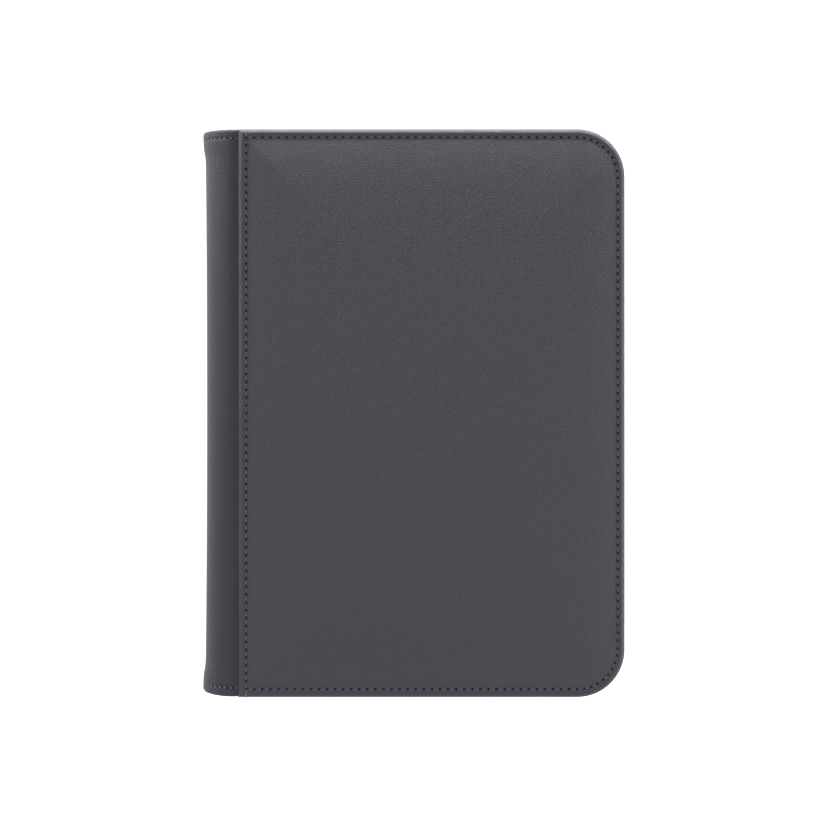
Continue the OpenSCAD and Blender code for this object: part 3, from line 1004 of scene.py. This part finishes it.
def pull_piece():
    """The zip's pull: a tab with a raised rim and a slot, and two arms that hold the crossbar."""
    low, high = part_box("zip_pull")
    crossbar_r = 0.45
    # half the tab's thickness, its edges' bevel, and the height of its face inside the raised rim
    face, bevel = 0.45, 0.18
    panel = face - 0.16
    outer = pull_outline()
    slot = np.array([slot_point(math.atan2(z, x - SLOT_X)) for x, z in outer])
    outside = [(bevel, -face), (0.05, -face + 0.05), (0.0, -face + bevel), (0.0, face - bevel),
               (0.05, face - 0.05), (bevel, face), (0.75, face), (0.90, panel), (1.05, panel)]
    inside = [(-0.90, panel), (-0.75, panel), (-0.60, face), (-bevel, face), (0.0, face - bevel),
              (0.0, -face + bevel), (-bevel, -face)]
    rows = [(outer, *at) for at in outside] + [(slot, *at) for at in inside]
    parts = [(stacked(rows), grid_faces(len(rows), len(outer), close_rows=True, close_cols=True))]
    for side in (-1, 1):
        route = [(-0.30, 1.80), (0.5, 1.80), (2.5, 1.80), (4.5, 1.80), (6.0, 1.75)]
        arm = [(x, side * z, 0.0) for x, z in route]
        parts.append(tube(arm, crossbar_r * 0.95, 12, widen=1.35))
    crossbar = [(0.0, z, 0.0) for z in (-2.2, -1.0, 1.0, 2.2)]
    parts.append(tube(crossbar, crossbar_r, 12, side=(0.0, 0.0, 1.0)))
    start_x = low[0] + crossbar_r * MM
    return metal_piece("zip_pull_tab", parts, start_x, (low[1] + high[1]) / 2, "pull", "zip_pull")


# -------- leaves

LEAVES = 20
LEAF_W = 149 * MM
# width of a leaf's welded seams, and its columns and rows of pockets
WELD_W = 2.2 * MM
COLUMNS, ROWS = 2, 2
# half a leaf's thickness at its seams and in its root strip, and how far a pocket stands out from it
SHEET_HALF = 0.09 * MM
STRIP_HALF = 0.085 * MM
POCKET_RISE = 0.20 * MM
# how deep a leaf's middle plane lies in its CAD solid, and the height of its gentle waves
LEAF_SINK = 0.3 * MM
WAVE = 0.12 * MM
# angle round the core between the roots of neighbouring leaves
ROOT_TURN = math.radians(8.0)


def pocket_grid(start, stop, count):
    """Lines across a leaf, close together at the pockets' edges, and how puffed the film is at each."""
    pocket = (stop - start - (count + 1) * WELD_W) / count
    shares = np.array([0, 0.02, 0.06, 0.14, 0.3, 0.5, 0.7, 0.86, 0.94, 0.98, 1])
    lines, puffs = [[start]], [[0]]
    for c in range(count):
        edge = start + WELD_W + c * (pocket + WELD_W)
        line = edge + pocket * shares
        # the film rises steeply from the seam and then stays level
        across = np.clip((line - edge) / pocket, 0, 1)
        lines.append(line)
        puffs.append(np.minimum(1, np.minimum(across, 1 - across) / 0.06) ** 0.6)
    return np.concatenate([*lines, [stop]]), np.concatenate([*puffs, [0]])


def root_strip(index, leaf_left, sheet_z):
    """The two faces of the strip that curves from the core to a leaf, as points of X and Z."""
    core_low, core_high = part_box("binding_core")
    core_r = (core_high[2] - core_low[2]) / 2 + 0.1 * MM
    a = (index - (LEAVES + 1) / 2) * ROOT_TURN
    away = np.array([math.cos(a), math.sin(a)])
    start = np.array([(core_low[0] + core_high[0]) / 2, MID_Z]) + core_r * away
    end = np.array([leaf_left, sheet_z])
    reach = np.linalg.norm(end - start)
    # a curve that leaves the core square on and comes level into the sheet
    leaving = start + away * reach * 0.12
    arriving = end - np.array([reach * 0.22, 0])
    t = np.linspace(0, 1, 11)[:, None]
    back = 1 - t
    curve = back**3 * start + 3 * back**2 * t * leaving + 3 * back * t**2 * arriving + t**3 * end
    heading = unit(np.gradient(curve, axis=0))
    normal = np.column_stack([-heading[:, 1], heading[:, 0]]) * STRIP_HALF
    return (curve + normal)[:-1], (curve - normal)[:-1]


def leaf_piece(index):
    """A leaf: a black sheet with two rows of clear pockets welded to each face."""
    node = f"leaf_{index:02d}"
    low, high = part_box(node)
    leaf_left = high[0] - LEAF_W
    sheet_z = high[2] - LEAF_SINK if index > LEAVES / 2 else low[2] + LEAF_SINK
    x_lines, x_puff = pocket_grid(leaf_left, high[0], COLUMNS)
    y_lines, y_puff = pocket_grid(-high[1], high[1], ROWS)
    x, y = np.meshgrid(x_lines, y_lines)
    puffed = y_puff[:, None] * x_puff[None]
    # each leaf waves a little in its own way, and lies straight at its root
    wave = WAVE * np.sin(x * 61 + index * 1.7) * np.cos(y * 43 + index * 2.3)
    wave = wave * np.clip((x - leaf_left) / (20 * MM), 0, 1)
    half = SHEET_HALF + POCKET_RISE * puffed
    n_y = len(y_lines)
    sides = []
    for side, strip in zip((1, -1), root_strip(index, leaf_left, sheet_z)):
        root = np.stack([np.column_stack([np.full(n_y, at[0]), y_lines, np.full(n_y, at[1])])
                         for at in strip], 1)
        sheet = np.stack([x, y, sheet_z + wave + side * half], -1)
        sides.append(np.concatenate([root, sheet], 1))
    n_x = sides[0].shape[1]
    loop = np.concatenate([sides[0], sides[1][:, ::-1]], 1)
    faces = grid_faces(n_y, 2 * n_x, close_cols=True).tolist()
    for row in (0, n_y - 1):
        first, last = row * 2 * n_x, (row + 1) * 2 * n_x - 1
        ends = [[first + k, first + k + 1, last - k - 1, last - k] for k in range(n_x - 1)]
        faces += [face[::-1] for face in ends] if row else ends
    welds = np.concatenate([np.zeros((n_y, len(strip))), np.where(puffed > 0, 0.0, 1.0)], 1)
    weld = np.concatenate([welds, welds[:, ::-1]], 1)
    return make(f"pocket_{node}", loop.reshape(-1, 3), faces, FILM, node, [node], weld=weld)


# -------- build

cover_skin("front_skin", True, "front_cover", "front_leather")
cover_skin("back_skin", False, "back_cover", "back_leather")
cover_stitches("front_stitches", True, "front_cover", "front_thread")
cover_stitches("back_stitches", False, "back_cover", "back_thread")

spine_leather()
spine_stitches()
spine_inside("spine_felt_layer", FELT, "spine_felt",
             outer_drop=1.25 * MM, inner_drop=2.35 * MM, margin=9.4 * MM)
spine_inside("spine_lining_layer", LINING, "spine_lining",
             outer_drop=2.45 * MM, inner_drop=2.75 * MM, margin=1.0 * MM)

# the front row starts just past the slider and ends as much short of the back row's end
ROW_GAP = 1.0 * MM
row_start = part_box("back_zip_coil")[0][0]
front_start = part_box("zip_slider")[1][0] + ROW_GAP
coil_row("back_coil_loops", False, "back_cover", "back_zip_coil", row_start, row_start)
coil_row("front_coil_loops", True, "front_cover", "front_zip_coil", front_start, row_start + ROW_GAP)

slider_piece()
pull_piece()

for leaf_index in range(1, LEAVES + 1):
    leaf_piece(leaf_index)

for cad_material, cad_bevel, cad_nodes in (
    (FOAM, None, ("back_foam", "front_foam")),
    (BOARD, None, ("back_board", "front_board")),
    (LINING, 0.25 * MM, ("back_lining", "front_lining")),
    (TAPE, 0.12 * MM, ("back_zip_tape", "front_zip_tape")),
    (METAL, 0.5 * MM, ("back_top_stop", "front_top_stop", "bottom_stop")),
    (INNER_LEATHER, 0.2 * MM, ("binding_strip",)),
    (INNER_LEATHER, 0.4 * MM, ("binding_core",)),
):
    for cad_node in cad_nodes:
        finish_cad(cad_node, cad_material, cad_bevel)

# -------- floor, light and camera


def floor():
    """A pale floor with a faint glow of its own, as on a light table, which thins the shadow."""
    g = Graph("pale_floor", (0.93, 0.93, 0.93), 0.9)
    g.put("Emission Color", (1, 1, 1, 1))
    g.put("Emission Strength", 0.5)
    reach = 6.0
    corners = [(-reach, -reach, 0), (reach, -reach, 0), (reach, reach, 0), (-reach, reach, 0)]
    mesh = bpy.data.meshes.new("floor")
    mesh.from_pydata(corners, [], [(0, 1, 2, 3)])
    mesh.materials.append(g.material)
    ground = bpy.data.objects.new("floor", mesh)
    # just under the binder, so that the two faces don't fight
    ground.location.z = -0.2 * MM
    bpy.context.scene.collection.objects.link(ground)


def area_light(name, place, target, size, power):
    """A white lamp of a width and height, in metres, that shines from a place towards a target."""
    data = bpy.data.lights.new(name, "AREA")
    data.shape = "RECTANGLE"
    data.size, data.size_y = size
    data.energy = power
    light = bpy.data.objects.new(name, data)
    light.location = place
    aim = Vector(target) - Vector(place)
    light.rotation_euler = aim.to_track_quat("-Z", "Y").to_euler()
    light.visible_camera = False
    bpy.context.scene.collection.objects.link(light)


def lights():
    """Low light from the top and the right that picks out the grain, and soft white light all round."""
    area_light("top_light", (-0.12, 0.42, 0.024), (-0.12, 0, 0.024), size=(0.9, 0.05), power=10.5)
    area_light("right_light", (0.42, 0.0, 0.028), (0, 0, 0.028), size=(0.5, 0.05), power=1.5)
    area_light("soft_overhead", (0.1, -0.62, 1.25), (0, -0.1, 0), size=(1.6, 0.9), power=10.5)
    world = bpy.data.worlds.new("studio")
    world.use_nodes = True
    background = world.node_tree.nodes["Background"]
    background.inputs["Color"].default_value = (1, 1, 1, 1)
    background.inputs["Strength"].default_value = 0.85
    bpy.context.scene.world = world
    bpy.context.scene.view_settings.view_transform = "Standard"


def camera():
    """Square on to the front cover, its axis towards the binder's upper half."""
    distance = 0.75
    frame_width = 0.3657
    # the frame's middle, measured from the cover's opening edge and from its top edge
    middle_in = 0.0916
    middle_down = 0.1262
    # share of the frame by which the axis passes above its middle
    shift = 0.10
    sensor_mm = 36
    data = bpy.data.cameras.new("camera")
    data.sensor_width = sensor_mm
    data.lens = sensor_mm * distance / frame_width
    data.shift_y = -shift
    eye = bpy.data.objects.new("camera", data)
    eye.location = (EDGE_X - middle_in, HALF_H - middle_down + shift * frame_width, TOP_Z + distance)
    bpy.context.scene.collection.objects.link(eye)
    bpy.context.scene.camera = eye


floor()
lights()
camera()
